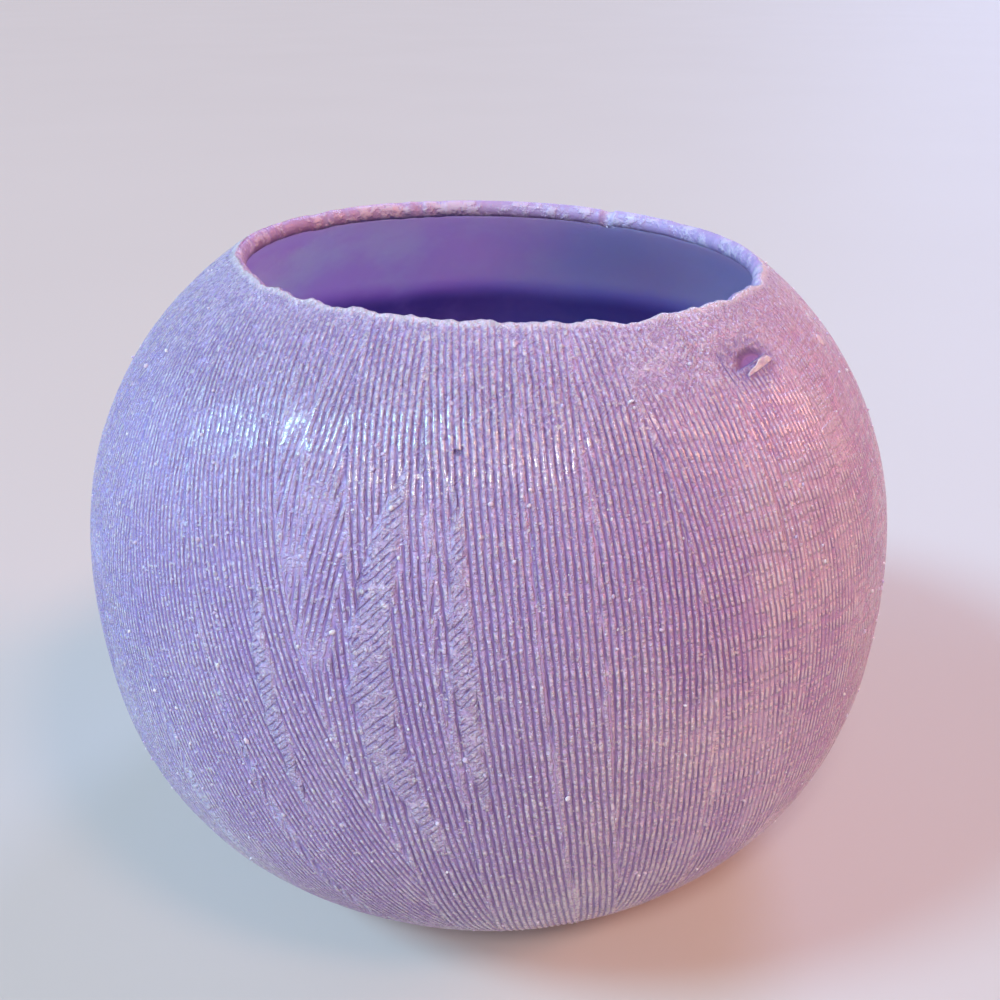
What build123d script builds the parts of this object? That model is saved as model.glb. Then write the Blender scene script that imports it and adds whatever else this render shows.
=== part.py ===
from build123d import *
import os
from math import hypot, sqrt

# A wax globe lantern, open at the top, with a flameless tealight standing on its floor.
# Millimetres. The origin is the centre of the foot, +Z is up and the best side faces -Y.

# Wax globe: a flattened ball, fuller below the belly than above it
belly_radius = 90.0
crown_rise = 84.9         # from the belly to where the ball would close on top
base_drop = 78.8          # from the belly to where the ball would close below
crown_power = 2.26        # how square the curve is above the belly
base_power = 2.51
mouth_radius = 54.6       # outer edge of the lip
mouth_tilt_side = 1.9     # degrees; the lip is lower at +X
mouth_tilt_front = 1.4    # degrees; the lip is lower at +Y
foot_radius = 49.2        # flat that the globe stands on
belly_wall = 4.0
crown_wall = 2.2
floor_thickness = 7.0
floor_cove = 6.0          # inside radius where wall and floor meet
lip_round = 0.7
foot_round = 1.5
pole_share = 0.97         # the side's curve stops short of the pole, which the mouth cuts away

# Chips out of the lip: azimuth from +X in degrees, width along the lip, depth
lip_chips = [
    (-64.0, 12.0, 1.3),
    (-75.0, 5.0, 0.6),
    (-121.0, 8.0, 0.8),
    (-130.5, 8.5, 0.9),
    (-142.0, 10.0, 0.8),
    (-38.0, 4.0, 0.6),
    (-22.0, 7.0, 1.0),
    (58.0, 4.0, 1.2),
    (140.0, 8.0, 0.9),
    (172.0, 6.0, 0.6),
]

# A flake that came off the shoulder: azimuth, height above the foot, breadth, depth
flake_azimuth = -46.0
flake_height = 129.0
flake_breadth = 10.0
flake_depth = 0.9

# Coin cell
cell_radius = 10.0
cell_height = 3.2
cell_cap_radius = 8.8     # the negative cap stands a little proud of the can
cell_cap_height = 0.2
cell_round = 0.3

# Battery door: a shallow cup with a coin slot below and two bayonet ears above the plate
door_floor = 1.5
door_wall = 0.9
door_recess = 0.5         # how far the door stays clear of what the tealight stands on
coin_slot_length = 12.0
coin_slot_width = 1.6
coin_slot_depth = 0.8
ear_reach = 1.6
ear_thickness = 1.1
ear_width = 5.0
door_unlock_turn = 35.0   # degrees from locked to where the ears drop through their notches

# Base plate and case of the tealight
plate_recess = 1.0        # from the case's foot to the plate
plate_thickness = 1.4
case_wall = 1.5
case_height = 17.5
case_round = 1.2
case_top = 1.2            # thickness of the dished top
dish_depth = 2.9
dish_flat = 7.5           # radius of the flat in the middle of the dish
dish_sag = 0.5            # how far the dish hangs below a straight slope
dish_wall_rise = 1.6      # how far the dish's underside climbs on its way to the wall
rim_land = 0.8            # flat on top of the case's rolled edge
rib_width = 1.2
rib_reach = 1.1
rib_azimuths = (60.0, 130.0, 300.0)
bead_reach = 0.25         # snap bead that holds the plate up
bead_height = 0.6

# Slide switch
switch_travel = 2.0
knob_width = 2.6
knob_length = 2.4
knob_recess = 0.4
flange_overhang = 0.6
flange_thickness = 0.8
switch_contact_thickness = 0.3
switch_contact_length = 4.6

# Contact strips
strip_width = 3.0
strip_thickness = 0.3
strip_foot_length = 2.4
cell_lip = 1.5            # how far the positive strip reaches down the can
positive_azimuth = 225.0  # between the door's ears and the switch

# Flame, lamp and leads
flame_radius = 5.5
flame_height = 22.4       # above the flat of the dish
flame_wall = 0.9
flame_flange = 1.1        # how far the flange reaches past the flame, and its thickness
spacer_height = 2.8
lamp_radius = 2.5
lamp_flange_radius = 2.9
lamp_flange_height = 1.0
lamp_height = 8.6
spacer_ledge = 0.3        # how far the spacer reaches in under the lamp
lead_pitch = 2.54
lead_radius = 0.25
lead_drop = 5.5           # from the lamp down to the anode lead's bend
lead_bend = 0.8

# Fits
moulded_gap = 0.1         # between pieces that snap together
running_gap = 0.3         # between pieces that move on each other
face_gap = 0.1            # between flat faces that slide on each other

# Worked out from the sizes above
belly_height = base_drop * (1 - (foot_radius / belly_radius) ** 2) ** (1 / base_power)
mouth_height = belly_height + crown_rise * (1 - (mouth_radius / belly_radius) ** 2) ** (1 / crown_power)
stand_height = floor_thickness
plate_bottom = stand_height + plate_recess
plate_top = plate_bottom + plate_thickness
door_bottom = stand_height + door_recess
cell_bottom = door_bottom + door_floor
cell_top = cell_bottom + cell_height
door_radius = cell_radius + running_gap + door_wall
door_hole_radius = door_radius + running_gap
ear_radius = door_radius + ear_reach
ear_bottom = plate_top + face_gap
ear_top = ear_bottom + ear_thickness
knob_x = -(ear_radius + running_gap + flange_overhang + knob_width / 2)
flange_half_width = knob_width / 2 + flange_overhang
flange_half_length = knob_length / 2 + flange_overhang
knob_y = -switch_travel / 2
flange_bottom = plate_top + face_gap
flange_top = flange_bottom + flange_thickness
switch_contact_top = flange_top + switch_contact_thickness
plate_radius = hypot(-knob_x + flange_half_width, switch_travel / 2 + switch_contact_length / 2) + running_gap
case_inner_radius = plate_radius + moulded_gap
case_radius = case_inner_radius + case_wall
strip_drop_radius = ear_radius + running_gap
strip_foot_radius = min(strip_drop_radius + strip_foot_length, plate_radius - moulded_gap)
dish_level = stand_height + case_height - dish_depth
dish_underside = dish_level - case_top
flame_hole_radius = flame_radius + moulded_gap
spacer_bottom = dish_underside - flame_flange
lamp_bottom = spacer_bottom + spacer_height
anode_y = knob_y + switch_contact_length / 2 + switch_travel / 2


def ball_radius(height, equator, rise, drop):
    """Radius of the ball at a height above its belly."""
    if height >= 0:
        return equator * sqrt(max(0.0, 1 - (height / rise) ** crown_power))
    return equator * sqrt(max(0.0, 1 - (-height / drop) ** base_power))


def ball_slope(height):
    """How fast the outside closes in, in radius lost for each millimetre that it rises above the belly."""
    radius = ball_radius(height, belly_radius, crown_rise, base_drop)
    return crown_power / 2 * (height / crown_rise) ** crown_power / height * belly_radius**2 / radius


def ball_outline(low, high, equator, rise, drop, steps=6):
    """Points (radius, height) up the ball's side, with one at the belly."""
    heights = [low * (1 - i / steps) for i in range(steps)] + [high * i / steps for i in range(steps + 1)]
    return [(ball_radius(h, equator, rise, drop), belly_height + h) for h in heights]


def disc(radius, low, high):
    """An upright cylinder between two heights."""
    return Pos(0, 0, low) * Cylinder(radius, high - low, align=(Align.CENTER, Align.CENTER, Align.MIN))


def ring(inner, outer, low, high):
    """An upright tube between two heights."""
    return disc(outer, low, high) - disc(inner, low - 1, high + 1)


def block(x_range, y_range, z_range):
    """A box given by its range along each axis."""
    size = [b - a for a, b in (x_range, y_range, z_range)]
    middle = [(a + b) / 2 for a, b in (x_range, y_range, z_range)]
    return Pos(*middle) * Box(*size)


def turned(solid, degrees_round):
    """The solid turned round the Z axis."""
    return Rot(0, 0, degrees_round) * solid


def tilted_mouth():
    """Where the mouth's axes lie: the ball's own, swung about the middle of its belly."""
    return Pos(0, 0, belly_height) * Rot(-mouth_tilt_front, mouth_tilt_side, 0)


def mouth_cutter():
    """Everything above the lip: a cone whose side crosses the wall squarely, tilted as the mouth is."""
    rise = mouth_height - belly_height
    flare = 1 / ball_slope(rise)
    reach = 4 * belly_wall
    height = 2 * crown_rise
    low_radius = max(1.0, mouth_radius - reach * flare)
    high_radius = mouth_radius + (height - reach) * flare
    cone = Cone(low_radius, high_radius, height, align=(Align.CENTER, Align.CENTER, Align.MIN))
    return tilted_mouth() * Pos(0, 0, rise - reach) * cone


def scallop(width, depth):
    """Radius of the ball that cuts a hollow of that width and depth into a face."""
    return (width**2 / 4 + depth**2) / (2 * depth)


def lip_chip(azimuth, width, depth):
    """A ball that takes a shallow hollow out of the lip."""
    radius = scallop(width, depth)
    rise = mouth_height - belly_height
    return tilted_mouth() * Rot(0, 0, azimuth) * Pos(mouth_radius, 0, rise + radius - depth) * Sphere(radius)


def shoulder_flake():
    """A ball that lifts a shallow shell of wax off the shoulder, square to its slope."""
    rise = flake_height - belly_height
    slope = ball_slope(rise)
    radius = scallop(flake_breadth, flake_depth)
    away = (radius - flake_depth) / sqrt(1 + slope**2)
    start = ball_radius(rise, belly_radius, crown_rise, base_drop)
    return turned(Pos(start + away, 0, flake_height + away * slope) * Sphere(radius), flake_azimuth)


def wax_globe():
    """The cast shell: outside, inside, poured floor, tilted mouth, rounded lip, chips and the flake."""
    outer_points = ball_outline(-belly_height, crown_rise * pole_share, belly_radius, crown_rise, base_drop)
    with BuildPart() as outside:
        with BuildSketch(Plane.XZ):
            with BuildLine():
                side = Spline(*outer_points)
                Polyline(side @ 1, (0, (side @ 1).Y), (0, 0), side @ 0)
            make_face()
        revolve(axis=Axis.Z)
        fillet(outside.edges().group_by(Axis.Z)[0], foot_round)
    inner_points = ball_outline(
        floor_thickness - belly_height,
        (crown_rise - crown_wall) * pole_share,
        belly_radius - belly_wall,
        crown_rise - crown_wall,
        base_drop - belly_wall,
    )
    with BuildPart() as inside:
        with BuildSketch(Plane.XZ):
            with BuildLine():
                side = Spline(*inner_points)
                Polyline(side @ 1, (0, (side @ 1).Y), (0, floor_thickness), side @ 0)
            make_face()
        revolve(axis=Axis.Z)
        fillet(inside.edges().group_by(Axis.Z)[0], floor_cove)
    shell = outside.part - inside.part - mouth_cutter()
    lip_edges = [e for e in shell.edges() if e.center().Z > mouth_height - 3 * belly_wall]
    shell = fillet(lip_edges, min(lip_round, crown_wall / 3))
    for chip in lip_chips:
        shell -= lip_chip(*chip)
    return shell - shoulder_flake()


def tealight_case():
    """Moulded cup, open below: rolled edge, dished top with a hole for the flame, ribs and a snap bead."""
    top = stand_height + case_height
    rim_inner = case_radius - case_round - rim_land
    wall_meets_dish = (case_inner_radius, dish_underside + dish_wall_rise)
    halfway = ((rim_inner + dish_flat) / 2, (top + dish_level) / 2 - dish_sag)
    with BuildPart() as body:
        with BuildSketch(Plane.XZ):
            with BuildLine():
                Polyline(
                    wall_meets_dish,
                    (case_inner_radius, stand_height),
                    (case_radius, stand_height),
                    (case_radius, top - case_round),
                )
                RadiusArc((case_radius, top - case_round), (case_radius - case_round, top), -case_round)
                Line((case_radius - case_round, top), (rim_inner, top))
                ThreePointArc((rim_inner, top), halfway, (dish_flat, dish_level))
                Polyline(
                    (dish_flat, dish_level),
                    (flame_hole_radius, dish_level),
                    (flame_hole_radius, dish_underside),
                    (dish_flat, dish_underside),
                    wall_meets_dish,
                )
            make_face()
        revolve(axis=Axis.Z)
    case = body.part
    for azimuth in rib_azimuths:
        rib = block(
            (case_inner_radius - rib_reach, case_inner_radius + case_wall / 2),
            (-rib_width / 2, rib_width / 2),
            (plate_top, dish_underside + dish_wall_rise),
        )
        case += turned(rib, azimuth)
    bead_inner, bead_outer = case_inner_radius - bead_reach, case_inner_radius + case_wall / 2
    return case + ring(bead_inner, bead_outer, plate_bottom - bead_height, plate_bottom)


def base_plate():
    """Disc with the door's hole, the notches that its ears drop through, and the switch's slot."""
    plate = ring(door_hole_radius, plate_radius, plate_bottom, plate_top)
    notch_half = ear_width / 2 + running_gap
    notch = block(
        (-ear_radius - running_gap, ear_radius + running_gap),
        (-notch_half, notch_half),
        (plate_bottom - 1, plate_top + 1),
    )
    plate -= turned(notch, 90.0 + door_unlock_turn)
    slot = block(
        (knob_x - knob_width / 2 - running_gap, knob_x + knob_width / 2 + running_gap),
        (
            knob_y - knob_length / 2 - running_gap,
            knob_y + knob_length / 2 + switch_travel + running_gap,
        ),
        (plate_bottom - 1, plate_top + 1),
    )
    return plate - slot


def battery_door():
    """Cup that carries the cell, with a coin slot below and two bayonet ears."""
    cup = disc(door_radius, door_bottom, ear_top) - disc(door_radius - door_wall, cell_bottom, ear_top + 1)
    ears = block((-ear_radius, ear_radius), (-ear_width / 2, ear_width / 2), (ear_bottom, ear_top))
    ears = ears & disc(ear_radius, ear_bottom, ear_top)
    ears -= disc(door_radius - door_wall / 2, ear_bottom - 1, ear_top + 1)
    slot = block(
        (-coin_slot_length / 2, coin_slot_length / 2),
        (-coin_slot_width / 2, coin_slot_width / 2),
        (door_bottom - 1, door_bottom + coin_slot_depth),
    )
    return cup + turned(ears, 90.0) - slot


def coin_cell():
    """Can with the negative cap standing a little proud on top."""
    can = disc(cell_radius, cell_bottom, cell_top - cell_cap_height)
    can = fillet(can.edges().group_by(Axis.Z)[0], cell_round)
    return can + disc(cell_cap_radius, cell_bottom + cell_round, cell_top)


def contact_strip(inner_end, lip):
    """A strip along +X: foot on the base plate, riser, arm over the cell, and a lip of that depth."""
    across = (-strip_width / 2, strip_width / 2)
    arm_low = cell_top
    arm_high = cell_top + strip_thickness
    riser_outer = strip_drop_radius + strip_thickness
    strip = block((inner_end, riser_outer), across, (arm_low, arm_high))
    strip += block((strip_drop_radius, riser_outer), across, (plate_top, arm_high))
    strip += block((strip_drop_radius, strip_foot_radius), across, (plate_top, plate_top + strip_thickness))
    if lip:
        strip += block((inner_end, inner_end + strip_thickness), across, (arm_low - lip, arm_high))
    return strip


def negative_contact():
    """Strip whose arm lies across the cell's cap."""
    return contact_strip(-lead_pitch, 0)


def positive_contact():
    """Strip whose lip stands against the side of the can, between the ears and the switch."""
    reach = min(cell_lip, cell_top - ear_top - face_gap)
    return turned(contact_strip(cell_radius + moulded_gap, reach), positive_azimuth)


def switch_knob():
    """Slider: a stem through the plate's slot and a flange that keeps it there."""
    stem = block(
        (knob_x - knob_width / 2, knob_x + knob_width / 2),
        (knob_y - knob_length / 2, knob_y + knob_length / 2),
        (stand_height + knob_recess, flange_bottom),
    )
    flange = block(
        (knob_x - flange_half_width, knob_x + flange_half_width),
        (knob_y - flange_half_length, knob_y + flange_half_length),
        (flange_bottom, flange_top),
    )
    return stem + flange


def switch_contact():
    """Leaf on top of the knob that slides under the anode lead."""
    return block(
        (knob_x - knob_width / 2, knob_x + knob_width / 2),
        (knob_y - switch_contact_length / 2, knob_y + switch_contact_length / 2),
        (flange_top, switch_contact_top),
    )


def flame_outline(base, foot, height, tip):
    """Points up a candle flame's side: a soft bulge, then a long taper to the tip's radius."""
    shares = (0.0, 0.12, 0.28, 0.45, 0.62, 0.78, 0.9, 1.0)
    fullness = (1.0, 1.04, 1.0, 0.84, 0.61, 0.37, 0.18, 0.0)
    return [(tip + (base - tip) * f, foot + height * s) for s, f in zip(shares, fullness)]


def flame_tip():
    """Hollow flame with a flange under the case's top and an open foot for the lamp."""
    foot = dish_underside - flame_flange
    outer = flame_outline(flame_radius, dish_level, flame_height, 0.6)
    inner = flame_outline(flame_radius - flame_wall, dish_level, flame_height - 3 * flame_wall, 0.3)
    with BuildPart() as flame:
        with BuildSketch(Plane.XZ):
            with BuildLine():
                side = Spline(*outer)
                Polyline(
                    side @ 1,
                    (0, (side @ 1).Y),
                    (0, foot),
                    (flame_radius + flame_flange, foot),
                    (flame_radius + flame_flange, dish_underside),
                    (flame_radius, dish_underside),
                    side @ 0,
                )
            make_face()
        revolve(axis=Axis.Z)
        with BuildSketch(Plane.XZ):
            with BuildLine():
                side = Spline(*inner)
                Polyline(
                    side @ 1,
                    (0, (side @ 1).Y),
                    (0, foot),
                    (flame_radius - flame_wall, foot),
                    side @ 0,
                )
            make_face()
        revolve(axis=Axis.Z, mode=Mode.SUBTRACT)
    return flame.part


def led_spacer():
    """Ring pressed into the flame's foot; the lamp's flange stands on it."""
    outer = flame_radius - flame_wall - moulded_gap / 2
    return ring(lamp_radius - spacer_ledge, outer, spacer_bottom, lamp_bottom)


def led_lamp():
    """Round-nosed lamp with a flange at its foot."""
    shoulder = lamp_bottom + lamp_height - lamp_radius
    lamp = disc(lamp_flange_radius, lamp_bottom, lamp_bottom + lamp_flange_height)
    lamp += disc(lamp_radius, lamp_bottom, shoulder)
    return lamp + Pos(0, 0, shoulder) * Sphere(lamp_radius)


def led_cathode_lead():
    """Straight lead down to the negative contact."""
    return Pos(lead_pitch / 2, 0, 0) * disc(lead_radius, cell_top + strip_thickness, lamp_bottom)


def led_anode_lead():
    """Lead that bends over to the switch and ends just above where its leaf slides."""
    bend_level = lamp_bottom - lead_drop
    points = [
        (-lead_pitch / 2, 0, lamp_bottom),
        (-lead_pitch / 2, 0, bend_level),
        (knob_x, anode_y, bend_level),
        (knob_x, anode_y, switch_contact_top + running_gap),
    ]
    with BuildPart() as lead:
        with BuildLine() as route:
            FilletPolyline(*points, radius=lead_bend)
        with BuildSketch(Plane(points[0], z_dir=(0, 0, -1))):
            Circle(lead_radius)
        sweep(path=route.wires()[0])
    return lead.part


makers = [
    wax_globe,
    tealight_case,
    flame_tip,
    led_spacer,
    led_lamp,
    led_anode_lead,
    led_cathode_lead,
    base_plate,
    battery_door,
    coin_cell,
    positive_contact,
    negative_contact,
    switch_knob,
    switch_contact,
]

os.makedirs("parts", exist_ok=True)
for maker in makers:
    export_step(maker(), f"parts/{maker.__name__}.step")
print(f"lip {mouth_height:.2f}, belly {belly_height:.2f}, case radius {case_radius:.2f}")
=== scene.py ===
import math
from bisect import bisect_left

import bpy
import numpy as np
from mathutils import Matrix, Vector


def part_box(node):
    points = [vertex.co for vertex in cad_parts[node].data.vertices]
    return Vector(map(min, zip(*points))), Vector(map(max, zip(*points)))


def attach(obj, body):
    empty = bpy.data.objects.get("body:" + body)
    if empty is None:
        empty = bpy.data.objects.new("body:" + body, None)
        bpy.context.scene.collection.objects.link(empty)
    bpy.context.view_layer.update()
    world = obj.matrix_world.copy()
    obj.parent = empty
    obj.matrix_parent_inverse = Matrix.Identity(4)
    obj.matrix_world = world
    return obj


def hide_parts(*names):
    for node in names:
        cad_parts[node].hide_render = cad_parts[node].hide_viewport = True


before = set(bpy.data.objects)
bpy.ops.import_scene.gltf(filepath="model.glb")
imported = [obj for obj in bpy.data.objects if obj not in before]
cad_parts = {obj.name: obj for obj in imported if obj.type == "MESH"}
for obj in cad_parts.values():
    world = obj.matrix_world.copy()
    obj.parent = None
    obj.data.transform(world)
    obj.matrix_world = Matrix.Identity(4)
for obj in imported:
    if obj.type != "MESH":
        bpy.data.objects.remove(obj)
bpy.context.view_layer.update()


# The view, before anything is made
# A near look down on the lantern from the front, high enough to see in at the mouth.
# The camera stands on a ball round the middle of the globe's belly and is then nudged a little.

MM = 0.001
globe_low, globe_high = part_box("wax_globe")
belly_radius = (globe_high.x - globe_low.x) / 2 / MM
belly_height = 0.76 * belly_radius
eye_elevation = math.radians(29.33)
eye_distance = 250.4
nudge_down, nudge_left, nudge_roll = (math.radians(a) for a in (1.87, -0.553, -0.318))
lens_length = 37.12

eye = Vector((
    0.0, -eye_distance * math.cos(eye_elevation), belly_height + eye_distance * math.sin(eye_elevation),
)) * MM
camera_data = bpy.data.cameras.new("studio_camera")
camera_data.lens = lens_length
camera_data.clip_start = 0.01
camera = bpy.data.objects.new("studio_camera", camera_data)
bpy.context.scene.collection.objects.link(camera)
look = Matrix.Rotation(math.pi / 2 - eye_elevation, 4, "X")
nudge = Matrix.Rotation(nudge_down, 4, "X") @ Matrix.Rotation(nudge_left, 4, "Y")
nudge = nudge @ Matrix.Rotation(nudge_roll, 4, "Z")
camera.matrix_world = Matrix.Translation(eye) @ look @ nudge
bpy.context.scene.camera = camera


# Wax globe, the bare ball
# One casting of violet candle wax: a flattened ball, fuller below its belly than above, cut open on top.
# Its side is followed by how far up the surface a point lies, from the foot's edge to the lip.

crown_rise, crown_power = 84.9, 2.26
base_drop, base_power = 78.8, 2.51
mouth_radius = 54.6
mouth_rise = crown_rise * (1 - (mouth_radius / belly_radius) ** 2) ** (1 / crown_power)
mouth_tilt_side, mouth_tilt_front = math.radians(1.9), math.radians(1.4)
foot_round = 1.5


def ball_radius(height):
    """Radius of the ball at heights above the foot."""
    rise = height - belly_height
    above = np.clip(rise / crown_rise, 0, 1) ** crown_power
    below = np.clip(-rise / base_drop, 0, 1) ** base_power
    return belly_radius * np.sqrt(1 - np.where(rise > 0, above, below))


side_z = np.concatenate([[0.0, 0.12, 0.45], np.linspace(1.1, belly_height + mouth_rise + 4.5, 1500)])
side_r = ball_radius(side_z)
side_r[:3] = side_r[3] - foot_round * np.array([1.45, 0.8, 0.35])
side_u = np.concatenate([[0.0], np.cumsum(np.hypot(np.diff(side_r), np.diff(side_z)))])
lip_u = float(np.interp(belly_height + mouth_rise, side_z, side_u))
belly_u = float(np.interp(belly_height, side_z, side_u))
slope_r = np.gradient(side_r, side_u)
slope_z = np.gradient(side_z, side_u)
turn_u = np.concatenate([[0.0], np.cumsum(np.diff(side_u) / ((side_r[1:] + side_r[:-1]) / 2))])
turn_u -= np.interp(belly_u, side_u, turn_u)


def on_side(u, azimuth, depth=0.0):
    """Points at a distance up the side, at azimuths, and at a depth below the skin."""
    r = np.interp(u, side_u, side_r) - depth * np.interp(u, side_u, slope_z)
    z = np.interp(u, side_u, side_z) + depth * np.interp(u, side_u, slope_r)
    return np.stack([r * np.cos(azimuth), r * np.sin(azimuth), z + 0 * r], 1)


def wobble(azimuth, waves, seed):
    """A smooth closed ripple round the ball, from waves of (count, height)."""
    phases = np.random.default_rng(seed).uniform(0, 2 * math.pi, len(waves))
    return sum(h * np.sin(n * azimuth + p) for (n, h), p in zip(waves, phases))


# Wax globe, the lip
# The top was broken and pared away by hand, so the lip leans a little and is a run of shallow scallops
# with points between them. The big ones stand where they do on the real rim; small ones fill the rest.
# A chip is its azimuth, its width along the rim and its depth.

named_chips = [
    (-64, 12, 1.5), (-75, 5, 0.7), (-86, 7, 0.5), (-98, 9, 0.5), (-110, 7, 0.5), (-121, 8, 0.9),
    (-130.5, 8.5, 1.0), (-142, 10, 0.9), (-38, 4, 0.8), (-22, 7, 1.1), (58, 4, 1.6), (140, 8, 1.0),
    (172, 6, 0.7),
]
lip_random = np.random.default_rng(11)
small_chips = [
    (a, lip_random.uniform(3, 8), lip_random.uniform(0.15, 0.5)) for a in lip_random.uniform(-180, 180, 44)
]


def lip_lean(azimuth):
    """How much further up the side the lip lies, from its tilt alone."""
    reach = math.hypot(mouth_radius, mouth_rise)
    tilt = math.sin(mouth_tilt_side) * np.cos(azimuth) + math.sin(mouth_tilt_front) * np.sin(azimuth)
    return -reach * tilt


def lip_loss(azimuth):
    """How far the chips have taken the lip back down the side."""
    loss = np.zeros_like(azimuth)
    for chip_azimuth, width, depth in named_chips + small_chips:
        away = (azimuth - math.radians(chip_azimuth) + math.pi) % (2 * math.pi) - math.pi
        bite = depth * (1 - (2 * away * mouth_radius / width) ** 2)
        loss = np.maximum(loss, bite)
    nibble = wobble(azimuth, [(61, 1.0), (97, 0.9), (143, 0.7), (211, 0.3)], 12)
    return loss + (0.06 - 0.045 * np.sin(azimuth)) * nibble


# Wax globe, the comb strokes
# While the wax was soft a comb was drawn down it again and again. Each stroke is a band of even grooves;
# strokes lean a little either way, a later one wipes out what it crosses, and bare wedges are left between.

tooth_pitch = 1.22
full_groove = 0.36
stroke_random = np.random.default_rng(7)
front = -math.pi / 2


def comb_stroke(azimuth, lean, teeth, low=0.0, high=1.0, bend=0.0, depth=1.0):
    """One stroke: azimuth at the belly, sideways lean, teeth, and the share of the side it covers."""
    return {
        "azimuth": azimuth, "lean": lean, "teeth": teeth, "low": low * lip_u,
        "high": high * lip_u + 9 * (high >= 1), "bend": bend, "depth": depth,
    }


strokes = []
full_strokes, short_strokes = 44, 60
for i in range(full_strokes):
    strokes.append(comb_stroke(
        2 * math.pi * (i + stroke_random.uniform(-0.3, 0.3)) / full_strokes,
        stroke_random.normal(0.04, 0.12), int(stroke_random.integers(11, 18)),
        bend=stroke_random.normal(0, 0.04), depth=stroke_random.uniform(0.75, 1.0),
    ))
stroke_random.shuffle(strokes)
for i in range(short_strokes):
    middle, span = stroke_random.uniform(0, 1), stroke_random.uniform(0.18, 0.5)
    strokes.append(comb_stroke(
        stroke_random.uniform(-math.pi, math.pi), stroke_random.normal(0, 0.11),
        int(stroke_random.integers(6, 14)),
        low=max(0.0, middle - span / 2), high=min(1.0, middle + span / 2),
        bend=stroke_random.normal(0, 0.08), depth=stroke_random.uniform(0.6, 1.0),
    ))
strokes += [
    comb_stroke(front - 0.86, 0.30, 16, low=0.04, bend=0.1, depth=0.85),
    comb_stroke(front - 0.62, 0.40, 17, bend=0.05, depth=0.9),
    comb_stroke(front - 0.37, 0.46, 18, bend=0.08, depth=0.95),
    comb_stroke(front + 0.30, 0.02, 20, depth=1.0),
    comb_stroke(front + 0.13, 0.10, 15, low=0.04, bend=0.05, depth=1.0),
    comb_stroke(front - 0.125, 0.20, 11, bend=0.06, depth=1.0),
    comb_stroke(front + 0.035, 0.13, 13, bend=0.04, depth=1.0),
    comb_stroke(front + 0.55, 0.05, 16, high=0.94, depth=0.9),
    comb_stroke(front + 0.78, -0.04, 14, low=0.1, high=0.95, depth=0.85),
]


def bare_wedge(top, bottom, bow, width):
    """A lens of skin left uncombed: its two ends as (azimuth, height), its bow in degrees and its width."""
    return {"top": top, "bottom": bottom, "bow": bow, "width": width}


wedges = [
    bare_wedge((-100.5, 119), (-95.5, 57), -4.6, 7.0), bare_wedge((-94, 116), (-90.5, 66), -0.6, 3.6),
    bare_wedge((-117, 101), (-111, 62), -0.5, 3.4),
]
wedges_round_the_back = 9
for i in range(wedges_round_the_back):
    azimuth, height = stroke_random.uniform(-20, 215), stroke_random.uniform(78, 118)
    wedges.append(bare_wedge(
        (azimuth, height), (azimuth + stroke_random.normal(0, 3), height - stroke_random.uniform(28, 55)),
        stroke_random.normal(0, 2), stroke_random.uniform(3, 6.5),
    ))


def wedge_span(wedge, u):
    """First and last azimuth of a wedge at a distance up the side, or None where it doesn't reach."""
    height = float(np.interp(u, side_u, side_z))
    share = (wedge["top"][1] - height) / (wedge["top"][1] - wedge["bottom"][1])
    if not 0 < share < 1:
        return None
    swell = math.sin(math.pi * share)
    azimuth = wedge["top"][0] + (wedge["bottom"][0] - wedge["top"][0]) * share + wedge["bow"] * swell
    half = math.degrees(wedge["width"] * swell**0.6 / 2 / float(np.interp(u, side_u, side_r)))
    half *= 1 + 0.18 * math.sin(u * 0.7 + azimuth)
    return math.radians(azimuth - half), math.radians(azimuth + half)


comb_pressure = (
    (-180, 0.8), (-140, 0.78), (-121, 0.9), (-108, 1.0), (-72, 1.0), (-60, 0.85), (-47, 0.62), (-25, 0.35),
    (5, 0.35), (40, 0.65), (90, 0.8), (140, 0.8), (180, 0.75),
)


def pressure(azimuth, u):
    """How hard the comb was pressed: lightly on the right, and hardly at all by the lip and the foot."""
    degrees, shares = zip(*comb_pressure)
    round_it = np.interp(np.degrees(azimuth), degrees, shares)
    uneven = 1 + 0.25 * wobble(azimuth, [(5, 0.6), (9, 0.5), (17, 0.4)], 21)
    by_lip = np.interp((lip_u - u) * uneven, (0, 7, 20, 34), (0.25, 0.5, 0.85, 1.0))
    return round_it * by_lip * min(1.0, 0.1 + u / 7)


def stroke_centre(stroke, u):
    """Azimuth of a stroke's middle tooth at a distance up the side."""
    turned = np.interp(u, side_u, turn_u)
    return stroke["azimuth"] - stroke["lean"] * turned + stroke["bend"] * turned**2


# Wax globe, its mesh
# Rings of points run from the middle of the poured floor up the inner wall, over the lip, down the combed
# outside and in under the foot. On a combed ring each tooth gives a groove and the two edges of its crest;
# neighbouring rings are joined tooth to tooth, and fans close the skin where a stroke begins or ends.

tooth_places = (0.0, 0.3, 0.72)
tooth_depths = (1.0, 0.04, 0.0)
owner_bins = 6000
gap_columns = 460
plain_columns = 240
row_count = 69
rings = []


def add_ring(points, labels, azimuths, groove, tooth, u, inside, bare, combing=0.0, below_lip=0.0):
    rings.append({
        "points": points, "labels": labels, "azimuths": azimuths, "groove": groove, "tooth": tooth,
        "u": u + 0 * groove, "inside": inside + 0 * groove, "bare": bare + 0 * groove,
        "combing": combing + 0 * groove, "below_lip": below_lip + 0 * groove,
    })


def plain_ring(radius, height, key, inside, columns=plain_columns):
    """A bare ring at a radius and height."""
    azimuths = np.arange(columns) * 2 * math.pi / columns - math.pi
    radius, height = radius + 0 * azimuths, height + 0 * azimuths
    points = np.stack([radius * np.cos(azimuths), radius * np.sin(azimuths), height], 1)
    zero = np.zeros(columns)
    add_ring(points, -1 - np.arange(columns), azimuths, zero, zero, key, inside, 1.0)


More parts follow.
